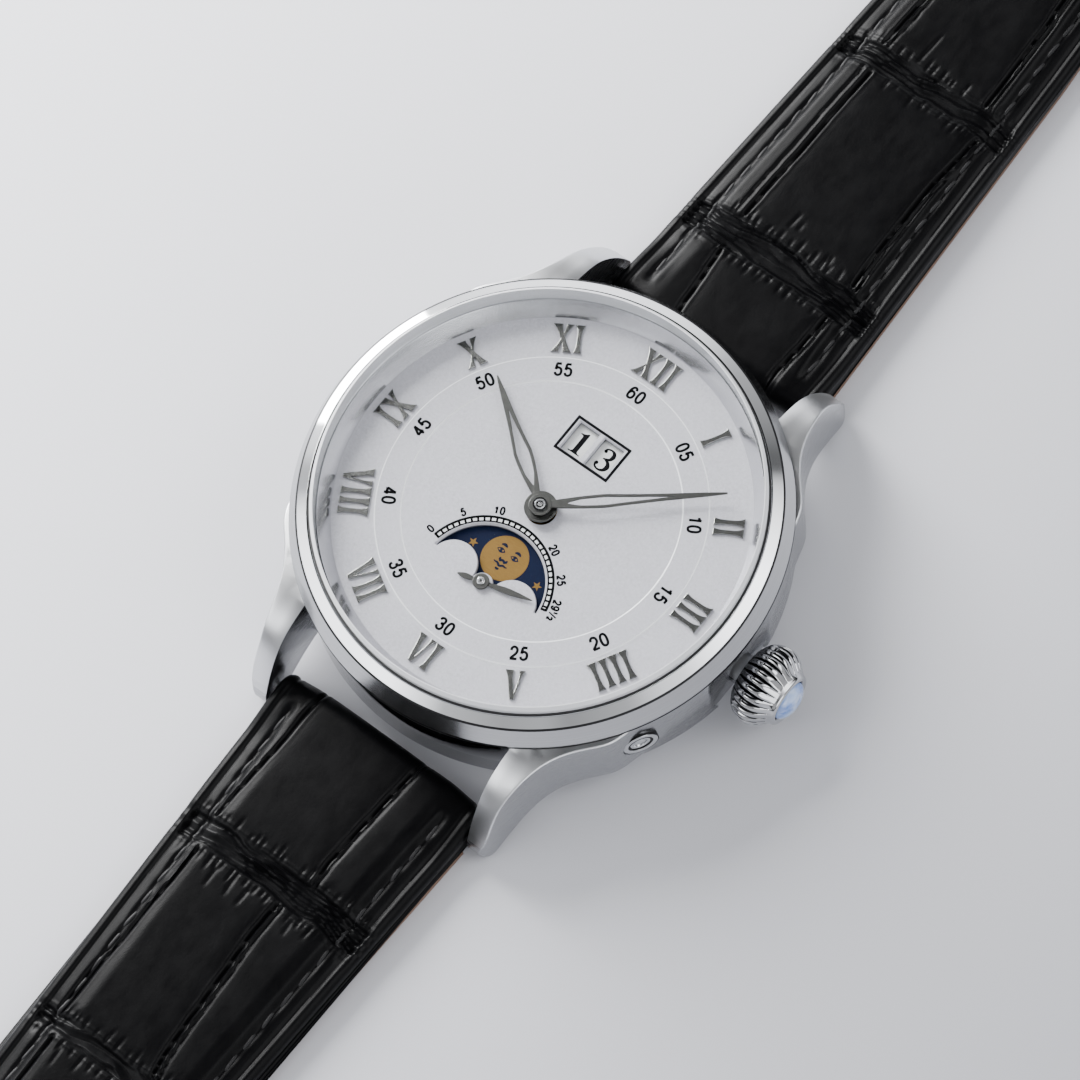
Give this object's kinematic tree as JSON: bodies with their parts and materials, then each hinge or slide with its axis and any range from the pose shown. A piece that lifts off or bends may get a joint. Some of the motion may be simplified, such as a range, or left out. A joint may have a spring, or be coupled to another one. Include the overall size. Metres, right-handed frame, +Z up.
{
  "type": "moon phase wristwatch",
  "caption": "Round wristwatch with moon phase, big date and small seconds, laid flat on an open two-piece leather strap with a pin buckle.",
  "frame": {"origin": "centre of the case back's rest face, on the flush display back", "axes": "+Z up out of the dial, +Y towards 12 o'clock and the short strap half, +X towards the crown at 3 o'clock"},
  "size_m": [0.0449, 0.2445, 0.0127],
  "materials": {
    "case_steel": "brushed and polished stainless steel",
    "polished_steel": "mirror polished stainless steel",
    "clear_crystal": "clear anti-reflective crystal",
    "gasket_black": "matte",
    "dial_silver": "fine-grained silver, matte",
    "dark_grey_metal": "dark grey plated, satin",
    "moon_blue": "navy with gold moons and stars",
    "date_white": "matte white, black numbers",
    "nickel_plate": "nickel plated, striped",
    "wheel_brass": "satin gilt",
    "tool_steel": "polished hardened steel",
    "screw_steel": "heat-blued",
    "spring_steel": "polished spring steel",
    "ruby": "polished synthetic ruby",
    "rotor_metal": "striped nickel",
    "cabochon_blue": "polished pale blue stone",
    "strap_leather": "embossed black calf, scaled grain",
    "lining_leather": "smooth brown lining",
    "black_thread": "waxed linen thread"
  },
  "bodies": {
    "case": {"case_middle": "case_steel", "bezel": "polished_steel", "crystal": "clear_crystal", "case_gaskets": "gasket_black", "inner_flange_ring": "polished_steel", "case_back_ring": "case_steel", "case_back_crystal": "clear_crystal", "case_back_screws": "case_steel", "crown_tube": "case_steel", "corrector_bush": "case_steel", "movement_holder_ring": "nickel_plate", "dial": "dial_silver", "hour_numerals": "dark_grey_metal", "main_plate": "nickel_plate", "barrel_bridge": "nickel_plate", "train_bridge": "nickel_plate", "balance_cock": "nickel_plate", "pallet_bridge": "nickel_plate", "jewels": "ruby", "bridge_screws": "screw_steel", "rotor_bearing": "tool_steel", "spring_bars": "case_steel"},
    "minute_group": {"minute_hand": "dark_grey_metal", "cannon_pinion": "tool_steel"},
    "hour_group": {"hour_hand": "dark_grey_metal", "hour_wheel": "wheel_brass"},
    "minute_wheel_group": {"minute_wheel": "wheel_brass"},
    "seconds_group": {"small_seconds_hand": "dark_grey_metal", "fourth_wheel": "wheel_brass"},
    "third_wheel_group": {"third_wheel": "wheel_brass"},
    "centre_wheel_group": {"centre_wheel": "wheel_brass"},
    "barrel_group": {"mainspring_barrel": "wheel_brass", "mainspring": "spring_steel"},
    "escape_wheel_group": {"escape_wheel": "tool_steel"},
    "pallet_fork_group": {"pallet_fork": "tool_steel"},
    "balance_group": {"balance_wheel": "wheel_brass", "hairspring": "spring_steel"},
    "moon_group": {"moon_disc": "moon_blue"},
    "date_tens_group": {"date_tens_disc": "date_white"},
    "date_units_group": {"date_units_disc": "date_white"},
    "crown_slide_group": {"crown_gasket": "gasket_black"},
    "crown_group": {"crown": "polished_steel", "crown_cabochon": "cabochon_blue", "winding_stem": "tool_steel"},
    "stem_pinion_group": {"stem_pinions": "tool_steel"},
    "crown_wheel_group": {"crown_wheel": "tool_steel"},
    "ratchet_group": {"ratchet_wheel": "tool_steel"},
    "corrector_group": {"corrector_pusher": "case_steel"},
    "rotor_group": {"rotor": "rotor_metal"},
    "strap_short": {"strap_short_leather": "strap_leather", "strap_short_lining": "lining_leather", "strap_short_stitching": "black_thread", "fixed_keeper": "strap_leather"},
    "buckle_frame_group": {"buckle_frame": "polished_steel", "buckle_spring_bar": "case_steel"},
    "buckle_tongue_group": {"buckle_tongue": "polished_steel"},
    "free_keeper_group": {"free_keeper": "strap_leather"},
    "strap_long": {"strap_long_leather": "strap_leather", "strap_long_lining": "lining_leather", "strap_long_stitching": "black_thread"}
  },
  "joints": [
    {"name": "minute_hand_turn", "type": "hinge", "parent": "case", "child": "minute_group", "pos_m": [0, 0, 0.0105], "axis": [0, 0, -1], "continuous": true},
    {"name": "hour_hand_turn", "type": "hinge", "parent": "case", "child": "hour_group", "pos_m": [0, 0, 0.0102], "axis": [0, 0, -1], "continuous": true},
    {"name": "minute_wheel_turn", "type": "hinge", "parent": "case", "child": "minute_wheel_group", "pos_m": [0.00282, -0.00103, 0.008], "axis": [0, 0, -1], "continuous": true},
    {"name": "seconds_hand_turn", "type": "hinge", "parent": "case", "child": "seconds_group", "pos_m": [0, -0.00762, 0.005], "axis": [0, 0, -1], "continuous": true},
    {"name": "third_wheel_turn", "type": "hinge", "parent": "case", "child": "third_wheel_group", "pos_m": [0.00475, -0.0048, 0.005], "axis": [0, 0, -1], "continuous": true},
    {"name": "centre_wheel_turn", "type": "hinge", "parent": "case", "child": "centre_wheel_group", "pos_m": [0, 0, 0.006], "axis": [0, 0, -1], "continuous": true},
    {"name": "barrel_turn", "type": "hinge", "parent": "case", "child": "barrel_group", "pos_m": [0.00117, 0.00662, 0.005], "axis": [0, 0, -1], "continuous": true},
    {"name": "escape_wheel_turn", "type": "hinge", "parent": "case", "child": "escape_wheel_group", "pos_m": [-0.00448, -0.00683, 0.005], "axis": [0, 0, -1], "continuous": true},
    {"name": "pallet_fork_rock", "type": "hinge", "parent": "case", "child": "pallet_fork_group", "pos_m": [-0.00599, -0.00471, 0.005], "axis": [0, 0, -1], "range_deg": [-5, 5]},
    {"name": "balance_swing", "type": "hinge", "parent": "case", "child": "balance_group", "pos_m": [-0.0082, -0.0016, 0.0043], "axis": [0, 0, -1], "range_deg": [-270, 270], "stiffness_Nm_per_rad": 0.0000002},
    {"name": "moon_disc_turn", "type": "hinge", "parent": "case", "child": "moon_group", "pos_m": [0, -0.00762, 0.0088], "axis": [0, 0, -1], "continuous": true},
    {"name": "date_tens_turn", "type": "hinge", "parent": "case", "child": "date_tens_group", "pos_m": [-0.00424, 0.0065, 0.0088], "axis": [0, 0, -1], "continuous": true},
    {"name": "date_units_turn", "type": "hinge", "parent": "case", "child": "date_units_group", "pos_m": [0.00544, 0.0065, 0.0088], "axis": [0, 0, -1], "continuous": true},
    {"name": "crown_pull", "type": "slide", "parent": "case", "child": "crown_slide_group", "axis": [1, 0, 0], "range_m": [0, 0.001]},
    {"name": "crown_turn", "type": "hinge", "parent": "crown_slide_group", "child": "crown_group", "pos_m": [0.022, 0, 0.00475], "axis": [1, 0, 0], "continuous": true},
    {"name": "stem_pinion_turn", "type": "hinge", "parent": "case", "child": "stem_pinion_group", "pos_m": [0.0095, 0, 0.00475], "axis": [1, 0, 0], "continuous": true},
    {"name": "crown_wheel_turn", "type": "hinge", "parent": "case", "child": "crown_wheel_group", "pos_m": [0.007, 0, 0.0029], "axis": [0, 0, 1], "continuous": true},
    {"name": "ratchet_wheel_turn", "type": "hinge", "parent": "case", "child": "ratchet_group", "pos_m": [0.00117, 0.00662, 0.005], "axis": [0, 0, 1], "continuous": true},
    {"name": "corrector_press", "type": "slide", "parent": "case", "child": "corrector_group", "axis": [-0.866, 0.5, 0], "range_m": [0, 0.0007], "stiffness_N_per_m": 300},
    {"name": "rotor_swing", "type": "hinge", "parent": "case", "child": "rotor_group", "pos_m": [0, 0, 0.0022], "axis": [0, 0, -1], "continuous": true},
    {"name": "strap_short_hinge", "type": "hinge", "parent": "case", "child": "strap_short", "pos_m": [0, 0.022, 0.00175], "axis": [1, 0, 0], "range_deg": [-80, 60]},
    {"name": "buckle_hinge", "type": "hinge", "parent": "strap_short", "child": "buckle_frame_group", "pos_m": [0, 0.095, 0.0021], "axis": [1, 0, 0], "range_deg": [-30, 45]},
    {"name": "tongue_hinge", "type": "hinge", "parent": "buckle_frame_group", "child": "buckle_tongue_group", "pos_m": [0, 0.095, 0.0021], "axis": [1, 0, 0], "range_deg": [0, 75]},
    {"name": "free_keeper_slide", "type": "slide", "parent": "strap_short", "child": "free_keeper_group", "axis": [0, 1, 0], "range_m": [-0.004, 0.004]},
    {"name": "strap_long_hinge", "type": "hinge", "parent": "case", "child": "strap_long", "pos_m": [0, -0.022, 0.00175], "axis": [-1, 0, 0], "range_deg": [-80, 60]}
  ],
  "couplings": [
    {"joint": "hour_hand_turn", "follows": "minute_hand_turn", "ratio": 0.083333},
    {"joint": "minute_wheel_turn", "follows": "minute_hand_turn", "ratio": -0.33333},
    {"joint": "third_wheel_turn", "follows": "seconds_hand_turn", "ratio": -0.13333},
    {"joint": "centre_wheel_turn", "follows": "seconds_hand_turn", "ratio": 0.016667},
    {"joint": "barrel_turn", "follows": "seconds_hand_turn", "ratio": -0.0027778},
    {"joint": "escape_wheel_turn", "follows": "seconds_hand_turn", "ratio": -12},
    {"joint": "stem_pinion_turn", "follows": "crown_turn", "ratio": 1},
    {"joint": "crown_wheel_turn", "follows": "crown_turn", "ratio": 0.36842},
    {"joint": "ratchet_wheel_turn", "follows": "crown_turn", "ratio": -0.23333}
  ]
}
